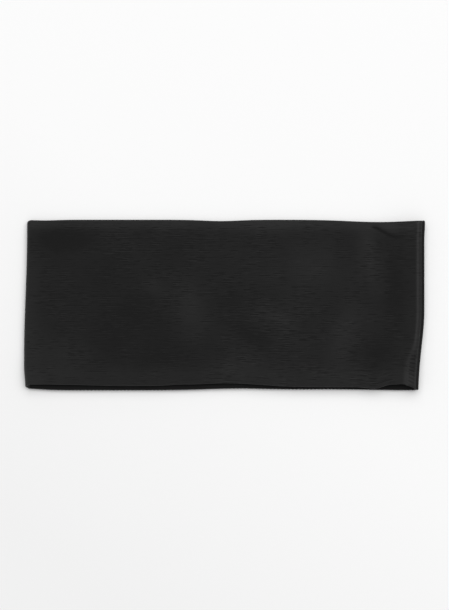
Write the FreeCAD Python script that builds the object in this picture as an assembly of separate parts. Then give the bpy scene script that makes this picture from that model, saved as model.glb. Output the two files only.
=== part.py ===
import FreeCAD, Part

import math
import os

# Wide stretch-jersey headband, lying flat.
#
# One strip of jersey is folded lengthwise.  The fold is the band's top edge, and
# the strip's two long edges are turned in and overlocked together along the
# bottom edge.  The folded strip is then closed into a loop by an overlock seam
# through all four plies, whose allowance lies against the inside of the upper
# half.  Lying flat, the loop is two halves, one on the other, with a rounded
# fold at each end.
#
# Millimetres.  X runs along the flat band, Y across its width, Z up.  The origin
# is the middle of the footprint, on the surface that the band lies on.
# A "depth" is measured inwards from the outside of the cloth.

# ---------------------------------------------------------------- driving sizes
FLAT_LENGTH = 236.0  # from end fold to end fold
BAND_WIDTH = 100.0  # from the bottom edge to the top edge
HEIGHT = 7.0  # of the flat loop, over both halves

PLY = 0.60  # thickness of the jersey
BODY_GAP = 0.10  # between the face ply and the lining ply
TURNED_PLY = 0.45  # a turned-in long edge, squeezed by its stitches
FLAP_PLY = 0.30  # one of the four plies in the closing seam's allowance
SLIT = 0.05  # between two faces of cloth that lie against each other
EDGE_ALLOWANCE = 6.5  # how far a long edge is turned in
STRIP_WIDTH = 7.4  # of the thicker strip that the turned-in edges make
STRIP_SLOPE = 2.5  # over which the lining comes back to the face
FLAP_WIDTH = 6.5  # how far the closing allowance reaches along the band
FLAP_ROOM = 0.25  # between the upper half and the closing allowance
SEAM_INSET = 0.65  # from the end fold's centre to the closing seam

THREAD = 0.15  # thickness of a sewing thread, pressed flat
THREAD_WIDTH = 0.32
THREAD_ROOM = 0.20  # space that a thread takes beside a ply
STITCH_PITCH = 2.2
NEEDLE_LINES = (1.5, 3.6)  # each needle's distance from its seam
LOOPER_START = 1.0  # from the seam to where the upper looper's crossings begin
PURL_GAP = 0.05  # between a cut edge and the purl that runs along it
TACK_FROM, TACK_TO = 4.1, 5.9  # the tack's sides, from the closing seam
TACK_REACH = 2.0

# ---------------------------------------------------------------- worked out
EDGE = BAND_WIDTH / 2
BODY_THICKNESS = 2 * PLY + BODY_GAP
TURNED_TOP = PLY + THREAD_ROOM  # depth at which a turned-in edge begins
TURNED_BOTTOM = TURNED_TOP + TURNED_PLY
STRIP_THICKNESS = 2 * TURNED_BOTTOM + SLIT
ROLL = TURNED_BOTTOM / 2  # outer radius of a rolled bottom edge
TOP_ROLL = BODY_THICKNESS / 2  # outer radius of the top fold
CUT_EDGE = EDGE_ALLOWANCE - EDGE  # Y of the turned-in edges' cut edges
STRIP_END = STRIP_WIDTH - EDGE
BODY_START = STRIP_END + STRIP_SLOPE

FOLD_X = FLAT_LENGTH / 2 - HEIGHT / 2  # centre of an end fold
MIDDLE = HEIGHT / 2
SEAM_X = FOLD_X - SEAM_INSET
FACE_LEG = SLIT / 2  # from the closing seam to the face plies
LINING_LEG = FACE_LEG + PLY + SLIT  # from the closing seam to the lining plies
FLAP_STEP = FLAP_PLY + SLIT
FLAP_BOTTOM = FLAP_ROOM + 3 * FLAP_STEP + FLAP_PLY  # below the lining
FLAP_LOW, FLAP_HIGH = ROLL + 0.5 - EDGE, EDGE - TOP_ROLL
THREAD_CLEARANCE = (THREAD_ROOM - THREAD) / 2


# ---------------------------------------------------------------- drawing
def section(points):
    """A face in the plane X = 0, from (y, depth) points.

    A point with a third value, "arc", is the middle of an arc between the
    points on either side of it.
    """
    at = [FreeCAD.Vector(0, p[0], p[1]) for p in points]
    curved = [len(p) == 3 for p in points]
    count = len(points)
    edges = []
    for i in range(count):
        j, k = (i + 1) % count, (i + 2) % count
        if curved[i]:
            continue
        if curved[j]:
            edges.append(Part.Arc(at[i], at[j], at[k]).toShape())
        else:
            edges.append(Part.LineSegment(at[i], at[j]).toShape())
    return Part.Face(Part.Wire(edges))


def loop_of(profile):
    """A profile taken all the way round the flat loop."""
    lower = profile.translated(FreeCAD.Vector(-FOLD_X, 0, 0)).extrude(FreeCAD.Vector(2 * FOLD_X, 0, 0))
    upper = lower.copy()
    upper.rotate(FreeCAD.Vector(0, 0, MIDDLE), FreeCAD.Vector(0, 1, 0), 180)
    bends = []
    for side in (-1, 1):
        start = profile.translated(FreeCAD.Vector(side * FOLD_X, 0, 0))
        centre = FreeCAD.Vector(side * FOLD_X, 0, MIDDLE)
        bends.append(start.revolve(centre, FreeCAD.Vector(0, -side, 0), 180))
    return lower.fuse([upper] + bends)


def block(x_range, y_range, depths):
    """A box in the upper half, between two depths."""
    corner = FreeCAD.Vector(x_range[0], y_range[0], HEIGHT - depths[1])
    return Part.makeBox(x_range[1] - x_range[0], y_range[1] - y_range[0], depths[1] - depths[0], corner)


def lining_depth(y):
    """Depth of the lining's inner face, which steps down over the turned-in edges."""
    share = min(max((BODY_START - y) / STRIP_SLOPE, 0.0), 1.0)
    return BODY_THICKNESS + share * (STRIP_THICKNESS - BODY_THICKNESS)


def under_lining(x_range, y_range, offsets, flat_top=None):
    """A layer under the upper half that follows its lining, between two distances below it.

    flat_top gives the depth of a flat top side instead.
    """
    ys = [y_range[0]] + [y for y in (STRIP_END, BODY_START) if y_range[0] < y < y_range[1]] + [y_range[1]]
    low = [(y, lining_depth(y) + offsets[1]) for y in ys]
    if flat_top is None:
        high = [(y, lining_depth(y) + offsets[0]) for y in reversed(ys)]
    else:
        high = [(ys[-1], flat_top), (ys[0], flat_top)]
    corners = [FreeCAD.Vector(x_range[0], y, HEIGHT - depth) for y, depth in low + high]
    outline = Part.makePolygon(corners + corners[:1])
    return Part.Face(outline).extrude(FreeCAD.Vector(x_range[1] - x_range[0], 0, 0))


def one_solid(shape):
    """The shape as a single solid, with its needless edges removed."""
    clean = shape.removeSplitter()
    if len(clean.Solids) != 1:
        raise RuntimeError("expected one solid, and found %d" % len(clean.Solids))
    return clean.Solids[0]


# ---------------------------------------------------------------- cloth
def strip_profile():
    """The folded strip's section, from one turned-in cut edge round to the other."""
    flat = ROLL - EDGE  # where a rolled bottom edge begins
    fold = EDGE - TOP_ROLL  # where the top fold begins
    room = THREAD_ROOM / 2
    deep = STRIP_THICKNESS
    return section(
        [
            (CUT_EDGE, TURNED_TOP),
            (flat, TURNED_TOP),
            (flat - room, PLY + room, "arc"),
            (flat, PLY),
            (fold, PLY),
            (fold + BODY_GAP / 2, TOP_ROLL, "arc"),
            (fold, PLY + BODY_GAP),
            (BODY_START, PLY + BODY_GAP),
            (STRIP_END, deep - PLY),
            (flat, deep - PLY),
            (flat - room, deep - PLY - room, "arc"),
            (flat, deep - TURNED_TOP),
            (CUT_EDGE, deep - TURNED_TOP),
            (CUT_EDGE, deep - TURNED_BOTTOM),
            (flat, deep - TURNED_BOTTOM),
            (-EDGE, deep - ROLL, "arc"),
            (flat, deep),
            (STRIP_END, deep),
            (BODY_START, BODY_THICKNESS),
            (fold, BODY_THICKNESS),
            (EDGE, TOP_ROLL, "arc"),
            (fold, 0.0),
            (flat, 0.0),
            (-EDGE, ROLL, "arc"),
            (flat, TURNED_BOTTOM),
            (CUT_EDGE, TURNED_BOTTOM),
        ]
    )


def seam_cuts():
    """What the closing seam parts: the face plies at the seam, and all below them a little wider."""
    whole = (-BAND_WIDTH, BAND_WIDTH)
    face = block((SEAM_X - FACE_LEG, SEAM_X + FACE_LEG), whole, (-1.0, MIDDLE))
    lining = block((SEAM_X - LINING_LEG, SEAM_X + LINING_LEG), whole, (PLY + BODY_GAP / 2, MIDDLE))
    return [face, lining]


def strip_end(side, leg_gap, place, top):
    """A ply's short end: turned down at the closing seam and laid back as its allowance.

    side is -1 for the end that comes from the left, place counts the plies of
    the allowance from its top, and top is the depth where the turned-down leg
    begins, or None to begin inside the lining.
    """
    across = (FLAP_LOW, FLAP_HIGH)
    upper = FLAP_ROOM + place * FLAP_STEP
    leg = sorted((SEAM_X + side * leg_gap, SEAM_X + side * (leg_gap + PLY)))
    turned_down = under_lining(leg, across, (-PLY / 2, upper + FLAP_PLY), top)
    laid_back = under_lining((SEAM_X - FLAP_WIDTH, leg[1]), across, (upper, upper + FLAP_PLY))
    return [turned_down, laid_back]


def jersey_band():
    """The whole band: one folded strip of jersey, turned in, closed and laid flat."""
    ends = strip_end(-1, LINING_LEG, 0, None) + strip_end(-1, FACE_LEG, 1, 0.0)
    ends += strip_end(1, FACE_LEG, 2, 0.0) + strip_end(1, LINING_LEG, 3, None)
    return one_solid(loop_of(strip_profile()).cut(seam_cuts()).fuse(ends))


# ---------------------------------------------------------------- threads of the bottom edge seam
def edge_thread(start, depths):
    """A thread that runs along the bottom edge, all round the loop but for the closing seam."""
    y_from, y_to = start - EDGE, start - EDGE + THREAD_WIDTH
    corners = [(y_from, depths[0]), (y_to, depths[0]), (y_to, depths[1]), (y_from, depths[1])]
    room = LINING_LEG + STITCH_PITCH / 4
    parting = block((SEAM_X - room, SEAM_X + room), (-BAND_WIDTH, BAND_WIDTH), (-1.0, MIDDLE))
    return loop_of(section(corners)).cut(parting)


def face_side():
    """Depths of a thread between the face ply and its turned-in edge."""
    return PLY + THREAD_CLEARANCE, PLY + THREAD_CLEARANCE + THREAD


def lining_side():
    """Depths of a thread between the lining ply and its turned-in edge."""
    top, bottom = face_side()
    return STRIP_THICKNESS - bottom, STRIP_THICKNESS - top


def stitch_places(depth):
    """Stitches round the loop, clear of the closing seam, as (x, z, turn about Y in degrees)."""
    radius = MIDDLE - depth
    straight, bend = 2 * FOLD_X, math.pi * radius
    start = LINING_LEG + STITCH_PITCH / 2
    total = 2 * straight + 2 * bend - 2 * start
    count = int(total // STITCH_PITCH) + 1
    places = []
    for number in range(count):
        along = start + SEAM_INSET + total * number / (count - 1)
        along %= 2 * straight + 2 * bend
        if along < straight:
            places.append((FOLD_X - along, MIDDLE + radius, 0.0))
        elif along < straight + bend:
            angle = (along - straight) / radius
            places.append((-FOLD_X - radius * math.sin(angle), MIDDLE + radius * math.cos(angle), -angle))
        elif along < 2 * straight + bend:
            places.append((along - straight - bend - FOLD_X, MIDDLE - radius, 0.0))
        else:
            angle = (along - 2 * straight - bend) / radius
            places.append((FOLD_X + radius * math.sin(angle), MIDDLE - radius * math.cos(angle), -angle))
    return [(x, z, math.degrees(turn)) for x, z, turn in places]


def edge_needle_thread(line):
    """One needle's line of stitches along the bottom edge seam."""
    return one_solid(edge_thread(line, lining_side()))


def edge_looper_thread(depths, start):
    """A looper thread: a crossing at every stitch, joined by the purl along the cut edges."""
    crossings = []
    for x, z, turn in stitch_places(sum(depths) / 2):
        corner = FreeCAD.Vector(-THREAD_WIDTH / 2, start - EDGE, -THREAD / 2)
        crossing = Part.makeBox(THREAD_WIDTH, CUT_EDGE + PURL_GAP + EDGE - start, THREAD, corner)
        crossing.rotate(FreeCAD.Vector(0, 0, 0), FreeCAD.Vector(0, 1, 0), turn)
        crossings.append(crossing.translated(FreeCAD.Vector(x, 0, z)))
    return one_solid(edge_thread(EDGE_ALLOWANCE + PURL_GAP, depths).fuse(crossings))


# ---------------------------------------------------------------- threads of the closing seam
def above_flap():
    """A thread between the upper half and the closing allowance, as distances below the lining."""
    margin = (FLAP_ROOM - THREAD) / 2
    return margin, margin + THREAD


def below_flap():
    """A thread under the closing allowance, as distances below the lining."""
    return FLAP_BOTTOM + THREAD_CLEARANCE, FLAP_BOTTOM + THREAD_CLEARANCE + THREAD


def closing_needle_thread(line):
    """One needle's line of stitches along the closing seam."""
    sides = (SEAM_X - line - THREAD_WIDTH, SEAM_X - line)
    return under_lining(sides, (FLAP_LOW, FLAP_HIGH), below_flap())


def closing_looper_thread(offsets, start):
    """A looper thread: a crossing at every stitch, joined by the purl along the cut edges."""
    purl_side = SEAM_X - FLAP_WIDTH - PURL_GAP
    purl = under_lining((purl_side - THREAD_WIDTH, purl_side), (FLAP_LOW, FLAP_HIGH), offsets)
    first = FLAP_LOW + TACK_REACH + STITCH_PITCH / 2
    crossings = []
    for number in range(int((FLAP_HIGH - 1.0 - first) // STITCH_PITCH) + 1):
        y = first + number * STITCH_PITCH
        crossings.append(under_lining((purl_side, SEAM_X - start), (y, y + THREAD_WIDTH), offsets))
    return one_solid(purl.fuse(crossings))


def closing_seam_tack():
    """The stitches that whip over the closing allowance's end, beside the bottom edge."""
    sides = (SEAM_X - TACK_TO, SEAM_X - TACK_FROM)
    inside = FLAP_LOW - THREAD_CLEARANCE
    outside = inside - THREAD
    reach = (outside, FLAP_LOW + TACK_REACH)
    over, under = above_flap(), below_flap()
    wrap = under_lining(sides, (outside, inside), (over[0], under[1]))
    return one_solid(wrap.fuse([under_lining(sides, reach, over), under_lining(sides, reach, under)]))


# ---------------------------------------------------------------- the headband
def build():
    """Every node of the headband, by name."""
    after_needles = NEEDLE_LINES[1] + 2 * THREAD_WIDTH
    return {
        "jersey_band": jersey_band(),
        "edge_seam_outer_needle_thread": edge_needle_thread(NEEDLE_LINES[0]),
        "edge_seam_inner_needle_thread": edge_needle_thread(NEEDLE_LINES[1]),
        "edge_seam_upper_looper_thread": edge_looper_thread(face_side(), LOOPER_START),
        "edge_seam_lower_looper_thread": edge_looper_thread(lining_side(), after_needles),
        "closing_seam_outer_needle_thread": closing_needle_thread(NEEDLE_LINES[0]),
        "closing_seam_inner_needle_thread": closing_needle_thread(NEEDLE_LINES[1]),
        "closing_seam_upper_looper_thread": closing_looper_thread(above_flap(), LINING_LEG + 2 * PLY),
        "closing_seam_lower_looper_thread": closing_looper_thread(below_flap(), after_needles),
        "closing_seam_tack": closing_seam_tack(),
    }


def main():
    """Writes one STEP file for each node."""
    os.makedirs("parts", exist_ok=True)
    for name, shape in build().items():
        if not shape.isValid():
            raise RuntimeError("%s is not a valid shape" % name)
        shape.exportStep("parts/%s.step" % name)
        print("%-34s %5d faces %10.2f mm3" % (name, len(shape.Faces), shape.Volume))


main()
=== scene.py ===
"""A wide stretch-jersey headband, lying flat: its cloth, its overlock seams, the light and the camera.

Shapes are worked out in millimetres and put into meshes in metres.  X runs along
the band, Y across it, Z up.  Along the loop a place is given by its *stretch*
(see Stretch), across the folded strip by its distance from the middle, and
through the cloth by its depth below the band's outside.
"""

import sys
import logging
import math
from dataclasses import dataclass
from enum import Enum, IntEnum
from functools import cached_property, reduce

import bpy
import numpy as np
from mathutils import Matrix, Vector


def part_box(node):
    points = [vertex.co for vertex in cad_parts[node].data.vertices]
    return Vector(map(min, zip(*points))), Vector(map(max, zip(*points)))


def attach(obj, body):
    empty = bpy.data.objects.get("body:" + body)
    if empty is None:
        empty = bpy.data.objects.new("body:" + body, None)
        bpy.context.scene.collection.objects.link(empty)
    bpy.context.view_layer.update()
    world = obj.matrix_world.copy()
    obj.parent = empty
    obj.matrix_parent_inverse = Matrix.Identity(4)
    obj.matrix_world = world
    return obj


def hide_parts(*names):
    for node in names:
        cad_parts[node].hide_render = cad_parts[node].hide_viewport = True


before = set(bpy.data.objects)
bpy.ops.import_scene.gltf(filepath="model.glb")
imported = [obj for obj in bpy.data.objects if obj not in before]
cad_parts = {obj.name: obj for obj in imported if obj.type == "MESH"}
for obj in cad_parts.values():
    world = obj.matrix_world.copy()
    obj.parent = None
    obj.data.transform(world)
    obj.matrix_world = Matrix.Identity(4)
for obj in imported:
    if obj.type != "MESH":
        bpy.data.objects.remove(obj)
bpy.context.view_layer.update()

LOG = logging.getLogger("headband")
MM = 0.001
CLOTH_NODE = "jersey_band"
BODY = "root"
STITCH = 2.2  # millimetres from one stitch to the next, in both seams
LAST_PLACE = 7.99999  # along the loop, just before its second cut end
Array = np.ndarray
Socket = bpy.types.NodeSocket
Material = bpy.types.Material


# -------- small functions of arrays
def ease(value: Array, start: float, end: float) -> Array:
    """Goes from 0 at start to 1 at end, as 3 t^2 - 2 t^3, and stays level outside them."""
    t = np.clip((value - start) / (end - start), 0.0, 1.0)
    return t * t * (3.0 - 2.0 * t)


def bell(value: Array, at: float, reach: float) -> Array:
    """1 at one place and falling off on both sides, as exp(-((value - at) / reach)^2)."""
    return np.exp(-(((value - at) / reach) ** 2))


def mix(first: Array, second: Array, share: Array) -> Array:
    """First where share is 0 and second where it is 1."""
    return first + (second - first) * share


def running(steps: Array) -> Array:
    """The sum of the steps up to each place, from 0."""
    return np.concatenate(([0.0], np.cumsum(steps)))


# -------- outlines and relief
@dataclass(frozen=True)
class Swell:
    """One gentle rise or dip in a line, in millimetres."""

    at: float
    height: float
    reach: float


@dataclass(frozen=True)
class EdgeLine:
    """A nearly straight edge with a few swells, in millimetres."""

    level: float
    swells: tuple[Swell, ...] = ()

    def rise(self, x: Array) -> Array:
        """How far the line is off its level: the sum of each swell's height times its bell."""
        return sum(swell.height * bell(x, swell.at, swell.reach) for swell in self.swells)


def edge_line(level: float, *swells: tuple[float, float, float]) -> EdgeLine:
    """An edge line, from its level and each swell's place, height and reach."""
    return EdgeLine(level, tuple(Swell(*swell) for swell in swells))


@dataclass(frozen=True)
class Mound:
    """A low, soft, slanting rise in the upper half, in millimetres and degrees."""

    x: float
    y: float
    height: float
    length: float
    width: float
    turn: float = 0.0

    def at(self, x: Array, y: Array) -> Array:
        """Height times exp(-(a / length)^2 - (b / width)^2), with a and b turned by the mound's turn."""
        c, s = math.cos(math.radians(self.turn)), math.sin(math.radians(self.turn))
        a, b = (x - self.x) * c + (y - self.y) * s, (y - self.y) * c - (x - self.x) * s
        return self.height * np.exp(-((a / self.length) ** 2) - (b / self.width) ** 2)


@dataclass(frozen=True)
class Crease:
    """A short fold line near a corner that runs down steeply and then level: the far side stands higher."""

    start: float = 87.0
    bend: float = 101.0
    end: float = 114.0
    high: float = 45.6
    low: float = 39.5
    depth: float = 0.55
    half_width: float = 0.80
    step: float = 0.45
    step_reach: float = 4.5
    swelling: float = 0.38
    loss: float = 0.85  # share of the line that is lost where it runs level

    def beside(self, x: Array, y: Array) -> Array:
        """Distance from the line, square to X: positive on the far side."""
        return y - mix(self.high, self.low, ease(x, self.start, self.bend))

    def strength(self, x: Array) -> Array:
        """How marked the line is: full where it is steep, and fading where it runs level."""
        fading = ease(x, self.bend - 5.0, self.end - 6.0)
        return ease(x, self.start - 1.5, self.start + 2.0) * (1.0 - self.loss * fading)

    def shade(self, x: Array, y: Array) -> Array:
        """Painted shade in the line, for the colour: a narrow bell."""
        return self.strength(x) * bell(self.beside(x, y), 0.0, self.half_width * 1.2)

    def at(self, x: Array, y: Array) -> Array:
        """A narrow groove, a step up on its far side that dies away, and a wide swelling beside it."""
        d = self.beside(x, y)
        swelling = self.swelling * bell(x, self.start - 2.0, 7.0) * bell(y, self.low - 1.0, 6.0)
        step = self.step * ease(d, -0.5, 1.0) * bell(np.maximum(d, 1.0), 1.0, self.step_reach)
        return swelling + self.strength(x) * (step - self.depth * bell(d, 0.0, self.half_width))


class Stretch(IntEnum):
    """The stretches of the loop, in order: a place part-way along one is its number plus a share."""

    FIRST_ALLOWANCE = 0
    FIRST_TURN = 1
    UPPER_HALF = 2
    PLAIN_FOLD = 3
    LOWER_HALF = 4
    SEAM_FOLD = 5
    SECOND_TURN = 6
    SECOND_ALLOWANCE = 7


def split(place: Array) -> tuple[Array, Array]:
    """The number of the stretch that a place is on, and how far along it the place is, from 0 to 1."""
    part = np.minimum(np.floor(place), Stretch.SECOND_ALLOWANCE)
    return part, place - part


@dataclass(frozen=True)
class Pucker:
    """The ladder of small hollows that the closing seam's stitches pull into the cloth beside it."""

    depth: float = 0.42
    near: float = 0.9  # millimetres from the seam
    far: float = 4.9
    faint: float = 0.10
    uneven: float = 0.08
    low: float = 0.85
    single: float = 0.5
    single_at: float = -19.5
    sharpness: float = 1.5

    def at(self, beside: Array, across: Array, from_edge: Array) -> Array:
        """Depth times a share for the distance beside the seam, one for the height, and the stitches' wave.

        The wave is (1/2 + 1/2 cos(2 pi from_edge / stitch)) to the power of the sharpness.
        """
        where = ease(beside, self.near, self.near + 0.4) * (1.0 - ease(beside, self.far - 0.9, self.far))
        height = self.faint + self.uneven * np.sin(0.9 * across) + self.low * ease(across, -27.5, -31.0)
        height = height + self.single * bell(across, self.single_at, 2.2)
        wave = (0.5 + 0.5 * np.cos(math.tau * from_edge / STITCH)) ** self.sharpness
        return self.depth * where * height * wave


@dataclass(frozen=True)
class LightPainting:
    """Painted light for the band's colour, as shares of the finish's pale tone: painted highlights on the
    upper half, its mounds, the plain fold's rim, the edges, the shoulder and its corner; painted shade on the
    dips, in the crease, the puckers and the lower half; and a ramp lighter towards the right end.
    """

    base: float = 0.03
    upper: float = 0.13
    lower: float = 0.15  # painted shade on the lower half, taken off like the crease's and the puckers' painted shade
    rim: float = 0.5
    bottom_edge: float = 0.28
    top_edge: float = 0.55
    shoulder: float = 0.62
    corner: float = 0.5
    lean: float = 0.13
    crease: float = 1.05
    pucker: float = 2.6
    least: float = -0.12
    most: float = 1.4


# -------- the band's shape
@dataclass(frozen=True)
class LoopShape:
    """The folded strip's way round the flat loop, and what it is like across and through."""

    half_length: float  # of the plain solid
    edge: float = 49.0  # from the strip's middle to its bottom edge or its top fold
    ply: float = 0.60
    thread_room: float = 0.20
    turned_ply: float = 0.40
    slit: float = 0.05
    body_thickness: float = 1.30
    strip_from: float = -39.8
    strip_to: float = -42.4
    lining_from: float = 42.5  # across, where the face ends inside the band and the lining begins
    allowance: float = 6.5
    flap_width: float = 6.5
    left_bow: float = 1.8
    left_tuck: float = 0.8
    right_inset: float = 0.5
    right_flare: float = 0.4
    right_lean: float = 3.6
    seam_inset: float = 1.75
    shoulder_width: float = 3.3
    shoulder_flare: float = 3.9
    shoulder_lead: float = -0.12  # where the slope's easing would start
    flap_body: float = 0.84  # thickness of one end of the strip inside the closing allowance
    flap_strip: float = 0.95
    flap_room: float = 0.20
    seam_gap: float = 0.03
    fold_reach: float = 3.0
    turn_radius: float = 0.90
    inner_radius: float = 0.10
    air: float = 0.10
    stack_room: float = 0.89
    shoulder_drop: float = 1.6
    rest_height: float = 4.0
    strip_rise: float = 1.15
    plain_fold_height: float = 4.3
    strip_fold_rise: float = 1.5
    left_reach: float = 17.0  # how far the plain fold's height is felt along the band
    stack_width: float = 7.0
    stack_reach: float = 13.0
    hold_reach: float = 12.0  # how far the closing seam's squeeze is felt
    lip_drop: float = 1.25
    lip_from: float = 40.5
    lip_width: float = 8.5
    lip_bend: float = 1.7
    lower_width: float = 97.6
    fade: float = 15.0
    scallop_reach: float = 1.6
    upper_scallop: float = 0.07
    lower_scallop: float = 0.17
    run_line: float = -46.0  # across, where the cloth's length is measured
    top: EdgeLine = edge_line(50.2, (-106.0, -0.40, 10.0), (-2.0, -0.75, 15.0), (92.0, -1.35, 26.0))
    upper_bottom: EdgeLine = edge_line(
        -47.6, (-105.0, 0.95, 28.0), (-27.0, 0.60, 9.0), (2.0, 1.70, 22.0), (60.0, -0.70, 30.0),
        (88.0, -1.30, 7.0), (96.5, 1.05, 4.5), (105.0, 1.55, 5.5), (116.0, -2.40, 8.0),
    )
    lower_bottom: EdgeLine = edge_line(-50.2, (-118.0, 0.95, 13.0), (8.0, 1.00, 26.0), (62.0, 0.55, 30.0))
    mounds: tuple[Mound, ...] = tuple(
        Mound(*row)
        for row in (
            (-20.0, -5.0, 0.55, 8.5, 13.0, 8.0), (-41.0, 8.0, 0.32, 8.0, 4.0, -22.0),
            (30.0, -9.0, 0.34, 11.0, 4.0, -22.0), (50.0, 19.0, 0.42, 17.0, 11.0, -12.0),
            (70.0, -19.0, 0.40, 7.0, 19.0, -18.0), (86.0, 24.0, 0.38, 6.5, 19.0, 20.0),
            (84.0, 37.0, 0.34, 5.0, 5.5), (98.0, 45.0, 0.36, 4.5, 3.5),
            (10.0, -37.0, 0.28, 17.0, 6.5, 4.0), (-94.0, -34.0, 0.36, 17.0, 12.0, -8.0),
            (26.0, 44.0, 0.28, 17.0, 5.0), (-96.0, 38.0, -0.42, 20.0, 8.0, -6.0),
            (-58.0, -10.0, -0.34, 16.0, 17.0), (14.0, -18.0, -0.40, 17.0, 6.0, -32.0),
            (99.0, 6.0, -0.36, 7.0, 24.0), (90.0, -33.0, -0.30, 9.0, 11.0),
            (-34.0, -32.0, -0.26, 16.0, 8.0), (4.0, 2.0, -0.18, 8.0, 14.0),
        )
    )
    crease: Crease = Crease()
    puckers: Pucker = Pucker()
    # painted light and shade for the colour
    light_painting: LightPainting = LightPainting()

    # ---- across and through the folded strip
    @property
    def turned_top(self) -> float:
        """Depth at which a turned-in edge begins."""
        return self.ply + self.thread_room

    @property
    def turned_bottom(self) -> float:
        """Depth at which a turned-in edge ends."""
        return self.turned_top + self.turned_ply

    @property
    def strip_thickness(self) -> float:
        """Thickness of the folded strip where both turned-in edges lie inside it."""
        return 2.0 * self.turned_bottom + self.slit

    def in_strip(self, across: Array) -> Array:
        """1 over the turned-in edges and 0 in the body."""
        return ease(across, self.strip_from, self.strip_to)

    def thickness(self, across: Array) -> Array:
        """Thickness of the folded strip before anything squeezes it."""
        return mix(self.body_thickness, self.strip_thickness, self.in_strip(across))

    def squeeze(self, place: Array, across: Array) -> Array:
        """How much of its thickness the strip keeps: all of it, but for the closing seam's stitches."""
        flap = self.flap_thickness(across) / self.thickness(across)
        part, t = split(place)
        fading = bell(t * 2.0 * self.half_length, 0.0, self.hold_reach)
        free = (part == Stretch.PLAIN_FOLD) | (part == Stretch.LOWER_HALF)
        held = [part == Stretch.UPPER_HALF, part == Stretch.SEAM_FOLD, free]
        hold = np.select(held, [fading, ease(t, 0.2, 0.95), 0.0], 1.0)
        return 1.0 - (1.0 - flap) * hold

    # ---- ends of the loop
    def left_end(self, across: Array) -> Array:
        """X of the plain fold: a shallow bow, furthest out below the middle."""
        bow, tuck = self.left_bow * ease(across, 42.0, -30.0), self.left_tuck * ease(across, -36.0, -50.0)
        return -(self.half_length - self.left_bow + bow - tuck)

    def right_end(self, across: Array) -> Array:
        """X of the fold beside the closing seam: straight, then leaning in towards the bottom edge."""
        flare, lean = self.right_flare * ease(across, 38.0, 48.0), self.right_lean * ease(across, -4.0, -50.0)
        return self.half_length - self.right_inset + flare - lean

    def seam(self, across: Array) -> Array:
        """X of the closing seam, just inside the fold."""
        return self.right_end(across) - self.seam_inset

    def shoulder(self, across: Array) -> Array:
        """Width of the cloth's slope down to the closing seam: wider towards the bottom edge."""
        return self.shoulder_width + self.shoulder_flare * ease(across, -20.0, -40.0)

    def first_turn(self, across: Array) -> tuple[Array, Array]:
        """Centre X and radius of the first end's turn at the closing seam."""
        radius = (self.seam_thickness(across) + self.flap_room + self.flap_thickness(across)) / 2.0
        return self.seam(across) - self.seam_gap - radius, radius

    def flap_thickness(self, across: Array) -> Array:
        """Thickness of one end inside the closing allowance."""
        return mix(self.flap_body, self.flap_strip, self.in_strip(across))

    def seam_thickness(self, across: Array) -> Array:
        """Thickness of the upper half right at the closing seam."""
        return self.thickness(across) * self.squeeze(np.asarray(float(Stretch.UPPER_HALF)), across)

    # ---- heights
    def seam_height(self, across: Array) -> Array:
        """Height of the cloth's outside at the closing seam: all that is stacked under it, and some room."""
        body, strip = (
            self.thickness(at) + self.seam_thickness(at) + 2.0 * self.flap_thickness(at)
            for at in (0.0, -self.edge)
        )
        return mix(body + self.air, strip, self.towards_strip(across)) + self.stack_room

    def towards_strip(self, across: Array) -> Array:
        """0 in the body and 1 over the bottom strip, with a wide slope between them."""
        return ease(across, -24.0, -43.0)

    def relief(self, x: Array, across: Array) -> Array:
        """Height of all the mounds together."""
        return sum(mound.at(x, across) for mound in self.mounds)

    def upper_height(self, x: Array, across: Array) -> Array:
        """Height of the upper half's outside.

        A rest height that rises over the bottom strip, rises to each end fold,
        steps up over the closing allowance and drops at the top lip, with the
        mounds and the crease added.
        """
        rest = self.rest_height + self.strip_rise * ease(across, -33.0, -45.0)
        left = self.left_end(across) + self.fold_reach
        seam = self.seam(across)
        near_left = bell(np.maximum(x - left, 0.0), 0.0, self.left_reach)
        near_seam = bell(np.maximum(seam - self.stack_width - x, 0.0), 0.0, self.stack_reach)
        fold_height = self.plain_fold_height + self.strip_fold_rise * ease(across, -26.0, -44.0)
        seam_height = self.seam_height(across)
        shoulder_top = seam_height + self.shoulder_drop * (1.0 - 0.5 * self.towards_strip(across))
        height = rest + (fold_height - rest) * near_left + (shoulder_top - rest) * near_seam
        height = height - (shoulder_top - seam_height) * self.slope(x, across)
        lip = np.clip((across - self.lip_from) / self.lip_width, 0.0, 1.0) ** self.lip_bend
        calm = (1.0 - near_left) * (1.0 - 0.8 * near_seam)
        relief = self.relief(x, across) * calm
        return height - self.lip_drop * lip * (1.0 - 0.85 * near_seam) + relief + self.crease.at(x, across)

    def slope(self, x: Array, across: Array) -> Array:
        """How far down the shoulder a place is: 0 at its top and 1 at the closing seam's turn."""
        seam = self.seam(across)
        start, end = seam - self.shoulder(across), seam - 0.9
        t = np.clip((x - start) / (end - start), 0.0, 1.0)
        first = ease(np.asarray(0.0), self.shoulder_lead, 1.0)
        return (ease(t, self.shoulder_lead, 1.0) - first) / (1.0 - first)

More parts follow.
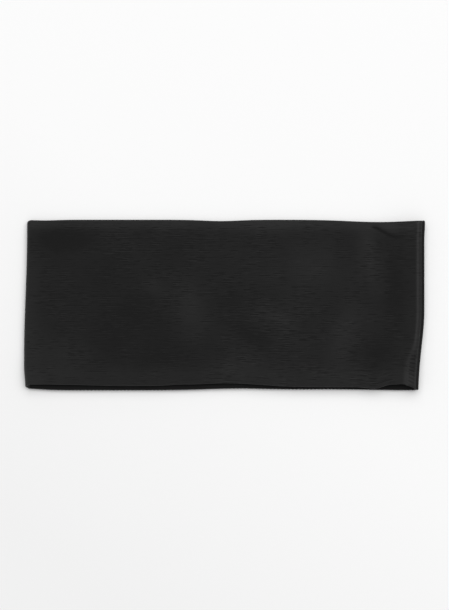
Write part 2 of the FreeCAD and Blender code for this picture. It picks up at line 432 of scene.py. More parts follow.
    def painted_light(self, place: Array, across: Array) -> Array:
        """Painted light for the colour: painted highlights over the mounds, the plain fold's rim, the
        shoulder and the edges, painted shade on the dips, in the crease, the puckers and the lower half, and
        a ramp lighter towards the right end.
        """
        share = self.light_painting
        x, _ = self.outside(place, across)
        upper = ease(place, 1.0, 2.0) - ease(place, 3.0, 3.6)
        lower = ease(place, 3.6, 4.0) - ease(place, 5.0, 5.6)
        rim = bell(x, self.left_end(across), 9.0) * (0.5 + 0.5 * ease(across, 40.0, 10.0))
        bottom_edge = share.bottom_edge * ease(across, -36.0, -44.0)
        edges = bottom_edge + share.top_edge * bell(np.minimum(across, 47.0), 47.0, 3.5)
        start = self.seam(across) - self.shoulder(across)
        shoulder = ease(x, start - 1.4, start + 1.6)
        corner = share.corner * (ease(across, -38.0, -47.0) * shoulder)
        # painted shade in the crease and in the puckers' hollows
        painted_shade = share.crease * self.crease.shade(x, across) + share.pucker * self.pucker(place, x, across)
        # painted highlights on the mounds, the plain fold's rim, the edges and the shoulder, and painted
        # shade on the dips
        brightening = self.relief(x, across) + share.rim * rim + edges + (share.shoulder + corner) * shoulder
        # a ramp lighter towards the right end
        brightening = brightening + share.lean * ease(x, -75.0, 25.0)
        # the upper half gets all of the above; the lower half gets painted shade
        total = share.base + upper * (share.upper + brightening - painted_shade) - share.lower * lower
        return np.clip(total, share.least, share.most)

    # ---- the way round
    def outside(self, place: Array, across: Array) -> tuple[Array, Array]:
        """X and Z of the band's outside, for a place along the loop.

        Straight runs, a half ellipse at the plain fold, a quarter ellipse, a rise
        and a quarter circle at the seam's fold, a half circle where the first end
        turns back under the upper half, and a quarter turn, a drop and a quarter
        turn the other way where the second end steps down below it.
        """
        place, across = np.broadcast_arrays(np.asarray(place, float), np.asarray(across, float))
        part, t = split(place)
        phi = math.pi * t
        seam, cut = self.seam(across), self.seam(across) - self.flap_width
        turn_x, turn_r = self.first_turn(across)
        top = self.upper_height(turn_x, across)
        first_level = top - 2.0 * turn_r
        second_level = first_level - self.slit
        left, right = self.left_end(across), self.right_end(across)
        left_x, right_x = left + self.fold_reach, right - self.fold_reach

        upper_x = mix(turn_x, left_x, t)
        left_z = self.upper_height(left_x, across) * (1.0 + np.cos(phi)) / 2.0

        step_x = seam + self.seam_gap
        step_top = step_x + self.turn_radius
        crown = right - step_top
        c = np.clip((t - 0.75) / 0.25, 0.0, 1.0) * math.pi / 2.0
        rise = mix(top / 2.0, top - crown, np.clip((t - 0.5) / 0.25, 0.0, 1.0))
        fold_x = np.where(t < 0.5, right_x + self.fold_reach * np.sin(phi), step_top + crown * np.cos(c))
        fold_z = np.where(t < 0.5, top * (1.0 - np.cos(phi)) / 2.0, rise + crown * np.sin(c))

        drop = top - self.turn_radius - second_level - self.inner_radius
        a = np.clip(t / 0.45, 0.0, 1.0) * math.pi / 2.0
        b = np.clip((t - 0.60) / 0.40, 0.0, 1.0) * math.pi / 2.0
        down = np.clip((t - 0.45) / 0.15, 0.0, 1.0) * drop
        turn2_x = step_top - self.turn_radius * np.sin(a) - self.inner_radius * (1.0 - np.cos(b))
        turn2_z = top - self.turn_radius * (1.0 - np.cos(a)) - down - self.inner_radius * np.sin(b)

        runs = {
            Stretch.FIRST_ALLOWANCE: (mix(cut, turn_x, t), first_level),
            Stretch.FIRST_TURN: (turn_x + turn_r * np.sin(phi), first_level + turn_r * (1.0 - np.cos(phi))),
            Stretch.UPPER_HALF: (upper_x, self.upper_height(upper_x, across)),
            Stretch.PLAIN_FOLD: (left_x - self.fold_reach * np.sin(phi), left_z),
            Stretch.LOWER_HALF: (mix(left_x, right_x, t), 0.0),
            Stretch.SEAM_FOLD: (fold_x, fold_z),
            Stretch.SECOND_TURN: (turn2_x, turn2_z),
            Stretch.SECOND_ALLOWANCE: (mix(step_x - self.inner_radius, cut, t), second_level),
        }
        on = [part == stretch for stretch in runs]
        return tuple(np.select(on, values) for values in zip(*runs.values()))

    def crosswise(self, place: Array, x: Array, across: Array) -> Array:
        """Y of the cloth: the strip laid between its bottom and top edge lines, the lower half slipped down.

        Each line's swells fade away across the strip.
        """
        lower = ease(place, 3.0, 4.0) - ease(place, 5.0, 6.0)
        bottom = mix(self.upper_bottom.level, self.lower_bottom.level, lower)
        top = mix(self.top.level, self.lower_bottom.level + self.lower_width, lower)
        y = bottom + (across + self.edge) * (top - bottom) / (2.0 * self.edge)
        rise = mix(self.upper_bottom.rise(x), self.lower_bottom.rise(x), lower)
        y = y + rise * bell(across, -self.edge, self.fade)
        y = y + (1.0 - lower) * self.top.rise(x) * bell(across, self.edge, self.fade)
        return y - self.scallop(place, lower) * bell(across, -self.edge, self.scallop_reach)

    def scallop(self, place: Array, lower: Array) -> Array:
        """How far the bottom edge swells out between the stitches: an uneven cosine, a stitch long."""
        along = self.run_at(place)
        uneven = 0.65 + 0.35 * np.sin(along * 0.23) * np.sin(along * 0.071 + 1.3)
        size = mix(self.upper_scallop, self.lower_scallop, lower)
        return size * uneven * np.cos(math.tau * along / STITCH)

    def pucker(self, place: Array, x: Array, across: Array) -> Array:
        """How far the closing seam's stitches pull the cloth in beside the seam, near the bottom edge."""
        from_edge = across + self.edge - self.turned_bottom / 2.0
        here = (place > 1.9) & (place < 2.2)
        return here * self.puckers.at(self.seam(across) - x, across, from_edge)

    def place_on(self, place: Array, across: Array, depth: Array) -> Array:
        """Points in millimetres, at a depth below the outside, square to the way round.

        Args:
            place: place along the loop, as a Stretch plus a share.
            across: distance across the strip from its middle.
            depth: depth below the outside, before the closing seam's squeeze.

        Returns:
            An array with the broadcast shape of the arguments and X, Y, Z last.
        """
        place, across, depth = np.broadcast_arrays(*(np.asarray(a, float) for a in (place, across, depth)))
        x, z = self.outside(place, across)
        ahead = self.outside(np.minimum(place + 1e-4, LAST_PLACE), across)
        behind = self.outside(np.maximum(place - 1e-4, 0.0), across)
        tangent_x, tangent_z = ahead[0] - behind[0], ahead[1] - behind[1]
        size = np.hypot(tangent_x, tangent_z)
        inward = depth * self.squeeze(place, across) + self.pucker(place, x, across)
        y = self.crosswise(place, x, across)
        return np.stack((x - inward * tangent_z / size, y, z + inward * tangent_x / size), axis=-1)

    # ---- lengths along the loop
    @cached_property
    def _runs(self) -> tuple[Array, Array]:
        """Places along the loop and the length of cloth up to each, near the bottom edge."""
        places = np.linspace(0.0, LAST_PLACE, 16001)
        x, z = self.outside(places, np.full_like(places, self.run_line))
        return places, running(np.hypot(np.diff(x), np.diff(z)))

    def run_at(self, place: Array) -> Array:
        """Length of cloth from the first cut end to a place."""
        places, runs = self._runs
        return np.interp(place, places, runs)

    def place_at(self, run: Array) -> Array:
        """Place at a length of cloth from the first cut end."""
        places, runs = self._runs
        return np.interp(run, runs, places)


# -------- meshes
def sheet_faces(rows: int, columns: int) -> tuple[Array, Array]:
    """Faces of a sheet shut all round, whose two sides are grids of rows by columns, the second after the
    first.

    Returns:
        The two sides' quads, and the quads of the rim that joins them.
    """
    index = np.arange(rows * columns).reshape(rows, columns)
    quads = np.stack((index[:-1, :-1], index[1:, :-1], index[1:, 1:], index[:-1, 1:]), axis=-1).reshape(-1, 4)
    sides = np.concatenate((quads, quads[:, ::-1] + rows * columns))
    rim = np.concatenate((index[0, :], index[1:, -1], index[-1, -2::-1], index[-2:0:-1, 0]))
    after = np.roll(rim, -1)
    return sides, np.stack((rim, after, after + rows * columns, rim + rows * columns), axis=-1)


def tube_faces(rings: int, sides: int) -> tuple[Array, list[list[int]]]:
    """Quads of a tube of rings, and its two end faces."""
    index = np.arange(rings * sides).reshape(rings, sides)
    beside = np.roll(index, -1, axis=1)
    quads = np.stack((index[:-1], beside[:-1], beside[1:], index[1:]), axis=-1).reshape(-1, 4)
    return quads, [index[0, ::-1].tolist(), index[-1].tolist()]


def linked(name: str, data: bpy.types.ID) -> bpy.types.Object:
    """Makes an object from its data, in the scene."""
    item = bpy.data.objects.new(name, data)
    bpy.context.scene.collection.objects.link(item)
    return item


def new_piece(
    name: str,
    points: Array,
    smooth: list,
    flat: list,
    uv: Array,
    material: Material,
    painted_light: Array | None = None,
) -> bpy.types.Object:
    """Makes an object from points in millimetres.

    Args:
        name: the piece's name.
        points: one row of X, Y, Z per vertex.
        smooth: faces that are shaded smooth.
        flat: faces that are shaded flat, such as a cut edge.
        uv: one row per vertex, in metres along and across the cloth.
        material: the piece's finish.
        painted_light: one number per vertex, of painted light and shade, for a finish that shows it.

    Returns:
        The object, linked into the scene.
    """
    mesh = bpy.data.meshes.new(name)
    mesh.from_pydata((points.reshape(-1, 3) * MM).tolist(), [], smooth + flat)
    mesh.polygons.foreach_set("use_smooth", [True] * len(smooth) + [False] * len(flat))
    corners = np.empty(len(mesh.loops), dtype=np.int32)
    mesh.loops.foreach_get("vertex_index", corners)
    cloth = mesh.uv_layers.new(name="Cloth")
    cloth.data.foreach_set("uv", uv.reshape(-1, 2)[corners].astype(np.float32).ravel())
    # painted light and shade, kept on the mesh for the finish
    if painted_light is not None:
        shown = mesh.attributes.new("PaintedLight", "FLOAT", "POINT")
        shown.data.foreach_set("value", painted_light.astype(np.float32).ravel())
    mesh.materials.append(material)
    mesh.validate()
    return linked(name, mesh)


def settle(piece: bpy.types.Object, slot: str, *nodes: str) -> None:
    """Says what a finished piece rides on and stands for, and reports it."""
    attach(piece, BODY)
    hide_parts(*nodes)
    LOG.info("%s: %d vertices, %d faces", piece.name, len(piece.data.vertices), len(piece.data.polygons))


# -------- finishes
class Tree:
    """A short way to build a material's nodes."""

    def __init__(self, name: str) -> None:
        """Starts an empty node material."""
        self.material = bpy.data.materials.new(name)
        self.material.use_nodes = True
        self.nodes = self.material.node_tree.nodes
        self.nodes.clear()

    def add(self, kind: str, settings: dict | None = None, **inputs: object) -> bpy.types.Node:
        """Adds a node.

        Args:
            kind: the node's type name.
            settings: the node's own settings.
            inputs: constants, or sockets to link, by input name, with _ for a blank.

        Returns:
            The node.
        """
        node = self.nodes.new(kind)
        for key, value in (settings or {}).items():
            setattr(node, key, value)
        for key, value in inputs.items():
            self.feed(node.inputs[key.replace("_", " ")], value)
        return node

    def feed(self, socket: Socket, value: object) -> None:
        """Links a socket to another one, or sets its constant."""
        if isinstance(value, Socket):
            self.material.node_tree.links.new(value, socket)
        else:
            socket.default_value = value

    def math(self, operation: str, first: object, second: object = 0.0) -> Socket:
        """A maths node's result."""
        node = self.add("ShaderNodeMath", {"operation": operation})
        self.feed(node.inputs[0], first)
        self.feed(node.inputs[1], second)
        return node.outputs[0]

    def times(self, first: object, second: object) -> Socket:
        """The product of two values."""
        return self.math("MULTIPLY", first, second)

    def plus(self, first: object, second: object) -> Socket:
        """The sum of two values."""
        return self.math("ADD", first, second)

    def total(self, *terms: tuple[Socket, float]) -> Socket:
        """The sum of each term's value times its weight."""
        return reduce(self.plus, [self.times(value, weight) for value, weight in terms])

    def noise(self, vector: Socket, waves: tuple, detail: float) -> Socket:
        """Noise of about so many waves to a metre, along each of the vector's directions."""
        scaled = self.add("ShaderNodeVectorMath", {"operation": "MULTIPLY"})
        self.feed(scaled.inputs[0], vector)
        scaled.inputs[1].default_value = waves
        where = scaled.outputs[0]
        node = self.add("ShaderNodeTexNoise", Vector=where, Scale=1.0, Detail=detail, Roughness=0.5)
        return node.outputs["Fac"]

    def spread(self, value: Socket, low: float, high: float) -> Socket:
        """A value stretched from low..high to 0..1."""
        node = self.add("ShaderNodeMapRange", Value=value, From_Min=low, From_Max=high)
        return node.outputs["Result"]

    def shades(self, share: Socket, dark: tuple, light: tuple) -> Socket:
        """A colour between two colours."""
        node = self.add("ShaderNodeMix", {"data_type": "RGBA"})
        self.feed(node.inputs["Factor"], share)
        for socket in node.inputs:
            if socket.type == "RGBA":
                socket.default_value = (*(dark if socket.name == "A" else light), 1.0)
        return next(out for out in node.outputs if out.type == "RGBA")

    def bump(self, height: Socket, strength: float, distance: float, normal: Socket | None = None) -> Socket:
        """A bump on top of another normal."""
        node = self.add("ShaderNodeBump", Strength=strength, Distance=distance, Height=height)
        if normal is not None:
            self.feed(node.inputs["Normal"], normal)
        return node.outputs["Normal"]

    def finish(self, **inputs: object) -> Material:
        """Adds the surface shader and the output, and returns the material."""
        shader = self.add("ShaderNodeBsdfPrincipled")
        for key, value in inputs.items():
            self.feed(shader.inputs[key.replace("_", " ")], value)
        self.add("ShaderNodeOutputMaterial", Surface=shader.outputs[0])
        return self.material


@dataclass(frozen=True)
class JerseyFinish:
    """Matt black single jersey: courses along the band, wales across it, uneven yarn, and painted highlights
    and shade read from the mesh.
    """

    dark: tuple = (0.0002, 0.0002, 0.0002)
    light: tuple = (0.0151, 0.0151, 0.0151)
    course: float = 0.60  # millimetres from one row of loops to the next
    wale: float = 0.75
    ridge: float = 1.35  # millimetres from one opened-up pair of rows to the next
    sheen: float = 0.14
    dark_waves: tuple = (165.0, 1750.0, 1.0)  # short dark courses, in waves to a metre
    pale_waves: tuple = (170.0, 1750.0, 3.0)
    group_waves: tuple = (170.0, 560.0, 5.0)  # groups of opened-up rows
    patch_waves: tuple = (70.0, 90.0, 70.0)
    wear_waves: tuple = (38.0, 46.0, 38.0)
    fuzz_waves: tuple = (2600.0, 2600.0, 1.0)
    by_painted_light: float = 0.63  # how much each pattern adds to the tone; this first one is the mesh's painted light and shade
    by_wear: float = 0.163
    by_pale: float = 0.222
    by_dark: float = -0.20
    by_rows: float = 0.38
    by_fuzz: float = 0.035

    def material(self) -> Material:
        """Builds the material on the piece's own coordinates, in metres along and across the cloth."""
        tree = Tree("black_jersey")
        cloth = tree.add("ShaderNodeUVMap", {"uv_map": "Cloth"}).outputs["UV"]
        place = tree.add("ShaderNodeTexCoord").outputs["Object"]
        # painted light and shade, read from the mesh
        painted_light = tree.add("ShaderNodeAttribute", {"attribute_name": "PaintedLight"}).outputs["Fac"]
        parts = tree.add("ShaderNodeSeparateXYZ", Vector=cloth)
        along = tree.times(parts.outputs["X"], 1000.0 / self.wale)
        across = tree.times(parts.outputs["Y"], 1000.0 / self.course)
        leg = tree.math("PINGPONG", along, 0.5)
        slant = tree.plus(across, tree.times(leg, 0.9))
        loops = tree.math("SINE", tree.times(slant, math.tau))
        groove = tree.math("COSINE", tree.times(along, math.tau))
        knit = tree.total((loops, 0.5), (groove, 0.2))
        dash = tree.spread(tree.noise(cloth, self.dark_waves, 0.0), 0.34, 0.46)
        gleam = tree.spread(tree.noise(cloth, self.pale_waves, 0.0), 0.58, 0.70)
        where = tree.spread(tree.noise(place, self.patch_waves, 2.0), 0.40, 0.60)
        fuzz = tree.noise(cloth, self.fuzz_waves, 2.0)
        wear = tree.spread(tree.noise(place, self.wear_waves, 3.0), 0.30, 0.70)
        brightening = tree.spread(tree.noise(cloth, self.group_waves, 0.0), 0.55, 0.61)
        rows = tree.math("COSINE", tree.times(parts.outputs["Y"], 2000.0 * math.pi / self.ridge))
        rows = tree.math("SUBTRACT", rows, 0.25)
        rows = tree.times(rows, tree.times(brightening, tree.plus(0.25, where)))
        missing = tree.times(tree.math("SUBTRACT", 1.0, dash), tree.plus(0.35, where))
        # the tone: the mesh's painted light and shade, then the yarn's own patterns
        tone = tree.total(
            (painted_light, self.by_painted_light),
            (wear, self.by_wear),
            (tree.times(gleam, where), self.by_pale),
            (missing, self.by_dark),
            (rows, self.by_rows),
            (fuzz, self.by_fuzz),
        )
        normal = tree.bump(dash, 0.18, 0.00006)
        normal = tree.bump(knit, 0.35, 0.00007, normal)
        normal = tree.bump(fuzz, 0.25, 0.00005, normal)
        return tree.finish(
            Base_Color=tree.shades(tone, self.dark, self.light),
            Roughness=tree.plus(tree.times(fuzz, 0.10), 0.62),
            Specular_IOR_Level=0.05,
            Sheen_Weight=self.sheen,
            Sheen_Roughness=0.65,
            Sheen_Tint=(0.98, 0.98, 0.98, 1.0),
            Normal=normal,
        )


@dataclass(frozen=True)
class ThreadFinish:
    """Spun black sewing thread, with its twist and a faint gloss."""

    dark: tuple = (0.0060, 0.0060, 0.0064)
    light: tuple = (0.0200, 0.0200, 0.0208)
    twist: float = 0.7  # millimetres for one turn
    fluff_waves: float = 4000.0  # to a metre

    def material(self) -> Material:
        """Builds the material from the distance along the thread and round it."""
        tree = Tree("black_thread")
        thread = tree.add("ShaderNodeUVMap", {"uv_map": "Cloth"}).outputs["UV"]
        parts = tree.add("ShaderNodeSeparateXYZ", Vector=thread)
        turns = tree.plus(tree.times(parts.outputs["X"], 1000.0 / self.twist), parts.outputs["Y"])
        ridge = tree.math("SINE", tree.times(turns, 4.0 * math.pi))
        place = tree.add("ShaderNodeTexCoord").outputs["Object"]
        fluff = tree.noise(place, (self.fluff_waves,) * 3, 2.0)
        tone = tree.total((tree.spread(ridge, -1.0, 1.0), 0.6), (fluff, 0.4))
        normal = tree.bump(fluff, 0.3, 0.00003, tree.bump(ridge, 0.6, 0.00003))
        return tree.finish(
            Base_Color=tree.shades(tone, self.dark, self.light),
            Roughness=tree.plus(tree.times(fluff, 0.2), 0.5),
            Specular_IOR_Level=0.35,
            Sheen_Weight=0.2,
            Sheen_Roughness=0.4,
            Normal=normal,
        )


@dataclass(frozen=True)
class FloorFinish:
    """A plain white ground, with painted shade towards one corner."""

    tone: float = 0.86
    # painted shade: how much greyer the ground is at its corner
    painted_corner_shade: float = 0.055

    def material(self) -> Material:
        """Builds a matt white with painted shade: a little greyer towards one corner."""
        tree = Tree("white_ground")
        place = tree.add("ShaderNodeTexCoord").outputs["Object"]
        parts = tree.add("ShaderNodeSeparateXYZ", Vector=place)
        # painted shade: the ground greys towards negative X and Y
        corner = tree.plus(parts.outputs["X"], tree.times(parts.outputs["Y"], 1.1))
        cloudy = tree.times(tree.noise(place, (9.0, 9.0, 9.0), 2.0), 0.1)
        share = tree.plus(tree.spread(corner, -0.26, 0.02), cloudy)
        low, high = (self.tone - self.painted_corner_shade,) * 3, (self.tone,) * 3
        return tree.finish(Base_Color=tree.shades(share, low, high), Roughness=0.9, Specular_IOR_Level=0.1)


# -------- cloth
@dataclass(frozen=True)
class Grain:
    """How finely the cloth is divided, in millimetres or in steps."""

    stitch: float = 1.1  # along the lower half: half a stitch
    upper: float = 2.2  # along the upper half
    near_seam: int = 22  # columns over the part of the upper half next to the closing seam
    near_share: float = 0.055
    end_length: float = 8.0  # of both end folds, which the halves leave out
    turn_steps: int = 16
    fold_steps: int = 18
    flap_steps: int = 4
    roll_steps: int = 8
    fine: float = 0.55  # across the strip near the bottom edge: a quarter of a stitch
    fine_rows: int = 39
    coarse: float = 1.6
    hidden: float = 3.0
    top_from: float = 36.0  # across, where the rows close up towards the top fold
    top_rows: int = 15
    inside: tuple = (1.6, 3.6)  # millimetres below the fold's middle, on its way down inside
    turned_rows: int = 5


@dataclass
class JerseyCloth:
    """The folded strip of jersey: its face with the top fold, and its lining, each with both sides."""

    shape: LoopShape
    finish: Material
    grain: Grain = Grain()
    cut_length: float = 0.478  # metres of jersey round the loop, with the closing allowances
    face_width: float = 0.1125  # metres from the face's cut edge, over the top fold, to the lining
    lining_width: float = 0.0985

    def places(self) -> Array:
        """Places along the loop at which the cloth has a column of vertices."""
        g = self.grain
        length = 2.0 * self.shape.half_length - g.end_length
        upper, lower = int(round(length / g.upper)), int(round(length / g.stitch))
        ends = (g.flap_steps, g.turn_steps)
        steps = (*ends, upper, g.fold_steps, lower, g.fold_steps, *ends[::-1])
        parts = [number + np.arange(count) / count for number, count in enumerate(steps)]
        near = g.near_share * np.arange(g.near_seam) / g.near_seam
        far = np.linspace(g.near_share, 1.0, upper)[:-1]
        parts[Stretch.UPPER_HALF] = Stretch.UPPER_HALF + np.concatenate((near, far))
        return np.concatenate(parts + [np.array([LAST_PLACE])])

    @staticmethod
    def section(*runs: tuple) -> tuple[Array, Array, Array]:
        """Joins runs into a section.

        Args:
            runs: each with the right and the wrong side's distances across, their
                constant depths, and the share of the strip's thickness to add to
                both depths; single numbers go for the whole run.

        Returns:
            Distances across, and the depths of the right and the wrong side, each
            as rows of a constant and a share of the strip's thickness.
        """
        columns = zip(*(np.broadcast_arrays(*run) for run in runs))
        across_right, across_wrong, right, wrong, share = (np.concatenate(column) for column in columns)
        return np.stack((across_right, across_wrong)), np.stack((right, share)), np.stack((wrong, share))

    def face_section(self) -> tuple[Array, Array, Array]:
        """The face's section, from its cut edge to the lining: half circles at the roll and the top fold."""
        s, g = self.shape, self.grain
        roll, fold = s.turned_bottom / 2.0, s.body_thickness / 2.0
        flat, top = -s.edge + roll, s.edge - fold
        phi = np.linspace(0.0, math.pi, g.roll_steps + 1)
        sin, cos = np.sin(phi), np.cos(phi)
        turned = np.linspace(s.allowance - s.edge, flat, g.turned_rows + 1)[:-1]
        fine = flat + g.fine * np.arange(1, g.fine_rows)
        coarse = np.arange(flat + g.fine * g.fine_rows, g.top_from - 0.5, g.coarse)
        body = np.concatenate((fine, coarse, np.linspace(g.top_from, top, g.top_rows)[:-1]))
        inside = np.array([*(top - down for down in g.inside), s.lining_from])
        roll_wrong = s.ply + s.thread_room * (1.0 + cos) / 2.0
        return self.section(
            (turned, turned, s.turned_bottom, s.turned_top, 0.0),
            (flat - roll * sin, flat - s.inner_radius * sin, roll * (1.0 + cos), roll_wrong, 0.0),
            (body, body, 0.0, s.ply, 0.0),
            (top + fold * sin, top + s.slit * sin, 0.0, s.ply * cos, (1.0 - cos) / 2.0),
            (inside, inside, 0.0, -s.ply, 1.0),
        )

    def lining_section(self) -> tuple[Array, Array, Array]:
        """The lining's section, from below the top fold down to its own cut edge."""
        s, g = self.shape, self.grain
        roll = s.turned_bottom / 2.0
        flat = -s.edge + roll
        phi = np.linspace(0.0, math.pi, g.roll_steps + 1)
        sin, cos = np.sin(phi), np.cos(phi)
        steps = int(round((s.lining_from - s.strip_from) / g.hidden))
        plain = np.linspace(s.lining_from, s.strip_from, steps + 1)
        slope = np.linspace(s.strip_from, s.strip_to, 5)[1:]
        body = np.concatenate((plain, slope, np.linspace(s.strip_to, flat, 7)[1:-1]))
        turned = np.linspace(flat, s.allowance - s.edge, g.turned_rows + 1)[1:]
        roll_wrong = -s.ply - s.thread_room * (1.0 - cos) / 2.0
        return self.section(
            (body, body, 0.0, -s.ply, 1.0),
            (flat - roll * sin, flat - s.inner_radius * sin, -roll * (1.0 - cos), roll_wrong, 1.0),
            (turned, turned, -s.turned_bottom, -s.turned_top, 1.0),
        )

    def ply_piece(self, name: str, section: tuple[Array, Array, Array], start: float) -> bpy.types.Object:
        """Carries a ply's section round the loop and closes it.

        Depth is the constant plus the share times the strip's thickness there.

        Args:
            name: the piece's name.
            section: as section gives it.
            start: millimetres across the cut cloth at which the section begins.

        Returns:
            The piece.
        """
        across, right, wrong = section
        places = self.places()[None, :]
        sides = []
        for distance, depth in zip(across, (right, wrong)):
            whole = depth[0] + depth[1] * self.shape.thickness(distance)
            sides.append(self.shape.place_on(places, distance[:, None], whole[:, None]))
        depth = right[0] + right[1] * self.shape.thickness(across[0])
        width = start + running(np.hypot(np.diff(across[0]), np.diff(depth)))
        run = self.shape.run_at(places[0])
        uv = np.stack(np.meshgrid(run * MM, width * MM), axis=-1)
        smooth, rim = sheet_faces(*sides[0].shape[:2])
        points = np.concatenate([side.reshape(-1, 3) for side in sides])
        # painted light and shade, one number per vertex, the same on both sides
        painted_light = self.shape.painted_light(*np.broadcast_arrays(places, across[0][:, None])).ravel()
        uvs, both = np.concatenate((uv, uv)), np.concatenate((painted_light, painted_light))
        piece = new_piece(name, points, smooth.tolist(), rim.tolist(), uvs, self.finish, both)
        LOG.info("%s: %.1f mm across, %.1f mm along", name, width[-1] - start, run[-1])
        return piece

    def build(self) -> None:
        """Makes the two pieces of cloth and settles each one."""
        face = self.ply_piece("band_face", self.face_section(), 0.0)
        lining = self.ply_piece("band_lining", self.lining_section(), self.face_width / MM)
        for piece, width in ((face, self.face_width), (lining, self.lining_width)):
            settle(piece, "black_jersey", CLOTH_NODE)


# -------- overlock seams
class Strand(Enum):
    """The four threads of an overlock seam."""

    OUTER_NEEDLE = "outer_needle"
    INNER_NEEDLE = "inner_needle"
    UPPER_LOOPER = "upper_looper"
    LOWER_LOOPER = "lower_looper"

    @property
    def is_needle(self) -> bool:
        """Whether it is a needle's thread and not a looper's."""
        return self in (Strand.OUTER_NEEDLE, Strand.INNER_NEEDLE)


@dataclass(frozen=True)
class Overlock:
    """One stitch of a four-thread overlock, in millimetres, as functions of the count of stitches.

    Along is how far the seam has gone, inward how far from the seam towards the
    cut edge, and side goes from -1, under the cloth, to 1, over it.
    """

    outer_line: float = 1.5
    inner_line: float = 3.6
    cut_edge: float = 6.5
    dip: float = 2.05  # a needle thread's way down, on the scale of side
    dip_reach: float = 0.13  # of a stitch
    sway: float = 0.12  # of a needle thread, beside its line
    lean: float = 0.35  # of a looper thread, along the seam
    roundness: float = 1.6
    past_edge: float = 0.22  # how far the purl stands out
    edge_bend: float = 0.85

    def path(self, strand: Strand, count: Array) -> tuple[Array, Array, Array]:
        """A strand's along, inward and side.

        A needle thread runs on top and dips through once a stitch.  A looper
        goes to and fro in a triangle wave between the needles and the purl at
        the cut edge, where it bends round the edge towards the other looper.
        """
        t = count - np.floor(count)
        swing = np.sin(math.tau * t)
        if strand.is_needle:
            line = self.outer_line if strand is Strand.OUTER_NEEDLE else self.inner_line
            dip = bell(t, 0.5, self.dip_reach)
            return count * STITCH, line + self.sway * swing * dip, 1.0 - self.dip * dip
        upper = strand is Strand.UPPER_LOOPER
        start = self.outer_line - 0.3 if upper else self.inner_line + 0.45
        wave = np.abs(2.0 * (t + (0.0 if upper else 0.5)) % 2.0 - 1.0)
        reach = 1.0 - (1.0 - wave) ** self.roundness
        inward = start + (self.cut_edge + self.past_edge - start) * reach
        bend = self.edge_bend * ease(inward, self.cut_edge - 0.25, self.cut_edge + 0.2)
        side = (1.0 if upper else -1.0) * (1.0 - bend)
        return count * STITCH + self.lean * swing, inward, side


@dataclass
class ThreadWork:
    """Turns a strand's path into a tube."""

    finish: Material
    radius: float = 0.085
    sides: int = 5
    reference: tuple = (0.31, 0.23, 0.92)  # a direction in which no thread runs

    def piece(self, name: str, path: Array, node: str) -> None:
        """Makes a thread: a ring round each point of the path, square to the way it runs.

        The ring lies on two directions square to the path's own: its cross
        product with a fixed direction, and the cross product with that.

        Args:
            name: the piece's name.
            path: points in millimetres.
            node: the plain node that the thread stands for.
        """
        tangent = np.gradient(path, axis=0)
        tangent /= np.linalg.norm(tangent, axis=1, keepdims=True)
        side = np.cross(tangent, np.array(self.reference))
        side /= np.linalg.norm(side, axis=1, keepdims=True)
        over = np.cross(tangent, side)
        angle = np.arange(self.sides) * math.tau / self.sides
        ring = side[:, None] * np.cos(angle)[None, :, None] + over[:, None] * np.sin(angle)[None, :, None]
        points = path[:, None] + self.radius * ring
        run = running(np.linalg.norm(np.diff(path, axis=0), axis=1))
        uv = np.stack(np.broadcast_arrays(run[:, None] * MM, angle[None, :] / math.tau), axis=-1)
        quads, ends = tube_faces(len(path), self.sides)
        settle(new_piece(name, points, quads.tolist(), ends, uv, self.finish), "black_thread", node)


@dataclass
class Seam:
    """An overlock seam in the band."""

    shape: LoopShape
    work: ThreadWork
    stitch: Overlock = Overlock()
    name: str = ""
    samples: int = 12  # points to a stitch

    def path(self, strand: Strand) -> Array:
        """Points of a strand, in millimetres."""
        raise NotImplementedError

    def counts(self, length: float) -> Array:
        """Counts of stitches, in small steps, along a length."""
        return np.arange(0.0, length / STITCH, 1.0 / self.samples)

    def build(self) -> None:
        """Makes the four threads."""
        for strand in Strand:
            name = f"{self.name}_{strand.value}"
            self.work.piece(name, self.path(strand), f"{name}_thread")


@dataclass
class EdgeSeam(Seam):
    """The overlock along the bottom edge, which joins the two turned-in edges inside the strip."""

    name: str = "edge_seam"
    samples: int = 10
    start: float = 2.004  # places along the loop
    end: float = 5.98

    def path(self, strand: Strand) -> Array:
        """Points of a strand: inward is measured from the bottom edge, and side goes from ply to ply."""
        s = self.shape
        first, last = s.run_at(self.start), s.run_at(self.end)
        along, inward, side = self.stitch.path(strand, self.counts(last - first))
        half = s.strip_thickness / 2.0 - s.ply - s.thread_room / 2.0
        over = side if strand.is_needle else -side
        place = s.place_at(first + along)
        return s.place_on(place, -s.edge + inward, s.strip_thickness / 2.0 + half * over)


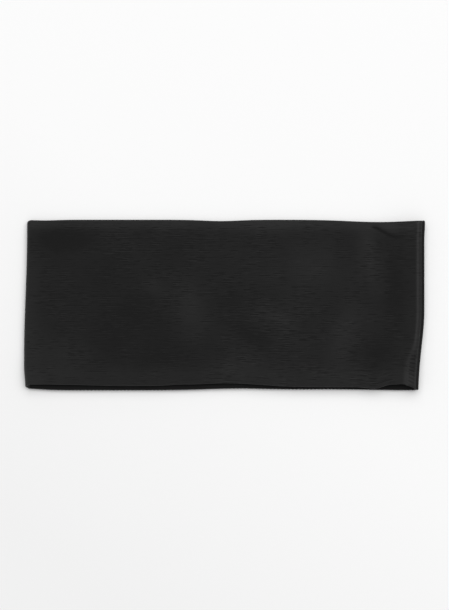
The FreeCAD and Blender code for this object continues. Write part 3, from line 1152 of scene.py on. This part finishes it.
@dataclass
class ClosingSeam(Seam):
    """The overlock that closes the loop, on the allowance under the upper half, and the tack at its end."""

    name: str = "closing_seam"
    margin: float = 0.8  # millimetres left free at each end
    tack_turns: int = 4
    tack_from: float = 4.2
    tack_width: float = 1.6
    tack_reach: float = 1.25
    tack_side: float = 1.08

    def stack(self, across: Array) -> tuple[Array, Array]:
        """Heights of the allowance's underside and top."""
        s = self.shape
        turn_x, radius = s.first_turn(across)
        face = s.upper_height(turn_x, across) - 2.0 * radius
        return face - s.slit - s.flap_thickness(across), face + s.flap_thickness(across)

    def on_stack(self, across: Array, inward: Array, side: Array) -> Array:
        """Points on the allowance: side -1 lies against its underside, and side 1 against its top."""
        s = self.shape
        low, high = self.stack(across)
        lift = self.work.radius + 0.01
        z = mix(low - lift, high + lift, (side + 1.0) / 2.0)
        x = s.seam(across) - inward
        y = s.crosswise(np.full_like(x, 0.5), x, across)
        return np.stack((x, y, z), axis=-1)

    def path(self, strand: Strand) -> Array:
        """Points of a strand, from the bottom edge to the top fold; the needle threads run underneath."""
        counts = self.counts(2.0 * (self.shape.edge - self.margin))
        along, inward, side = self.stitch.path(strand, counts)
        over = -side if strand.is_needle else side
        return self.on_stack(along - self.shape.edge + self.margin, inward, over)

    def tack_path(self) -> Array:
        """Turns of thread that whip over the allowance's end: an ellipse carried along the band."""
        turns = np.linspace(0.0, self.tack_turns, 24 * self.tack_turns + 1)
        inward = self.tack_from + self.tack_width * turns / self.tack_turns
        angle = math.tau * turns
        centre = np.full_like(turns, -self.shape.edge + 0.9)
        return self.on_stack(centre - self.tack_reach * np.cos(angle), inward, self.tack_side * np.sin(angle))

    def build(self) -> None:
        """Makes the four threads and the tack."""
        super().build()
        self.work.piece("closing_seam_tack_stitches", self.tack_path(), "closing_seam_tack")


# -------- light and camera
@dataclass
class Studio:
    """A white ground, a soft key light from the far right, an even fill, and a camera straight above."""

    ground_size: float = 24.0
    ground_drop: float = 0.1  # millimetres under the band
    sensor: float = 36.0
    camera_height: float = 1.2
    view_height: float = 0.3597  # metres of ground from the top of the view to its bottom
    fill: float = 0.45
    key_power: float = 395.0
    key_size: tuple = (9.0, 6.3)
    key_place: tuple = (1.05, 2.75, 4.85)

    def ground(self) -> None:
        """A flat square just under the band."""
        half = self.ground_size / 2.0 / MM
        around = ((-half, -half), (half, -half), (half, half), (-half, half))
        corners = np.array([(x, y, -self.ground_drop) for x, y in around])
        floor = FloorFinish().material()
        piece = new_piece("ground", corners, [], [[0, 1, 2, 3]], corners[:, :2] * MM, floor)

    def lights(self) -> None:
        """One large square light and an even white world."""
        lamp = bpy.data.lights.new("key", "AREA")
        lamp.shape, lamp.energy = "RECTANGLE", self.key_power
        lamp.size, lamp.size_y = self.key_size
        key = linked("key", lamp)
        key.location = self.key_place
        key.rotation_euler = (-Vector(key.location)).to_track_quat("-Z", "Y").to_euler()
        world = bpy.data.worlds.new("studio")
        world.use_nodes = True
        background = world.node_tree.nodes["Background"]
        background.inputs["Color"].default_value = (1.0, 1.0, 1.0, 1.0)
        background.inputs["Strength"].default_value = self.fill
        bpy.context.scene.world = world

    def camera(self) -> None:
        """A long lens, straight above the band's middle."""
        lens = bpy.data.cameras.new("camera")
        lens.sensor_width = self.sensor
        lens.lens = lens.sensor_width * self.camera_height / self.view_height
        camera = linked("camera", lens)
        camera.location = (0.0, 0.0, self.camera_height)
        bpy.context.scene.camera = camera
        bpy.context.scene.view_settings.view_transform = "Standard"

    def build(self) -> None:
        """Sets the stage."""
        self.ground()
        self.lights()
        self.camera()


def main() -> None:
    """Builds the headband's cloth, its seams and the studio."""
    logging.basicConfig(level=logging.INFO, format="%(message)s", stream=sys.stdout)
    low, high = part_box(CLOTH_NODE)
    shape = LoopShape(half_length=(high[0] - low[0]) / 2.0 / MM)
    JerseyCloth(shape, JerseyFinish().material()).build()
    work = ThreadWork(ThreadFinish().material())
    EdgeSeam(shape, work).build()
    ClosingSeam(shape, work).build()
    Studio().build()


if __name__ == "__main__":
    main()
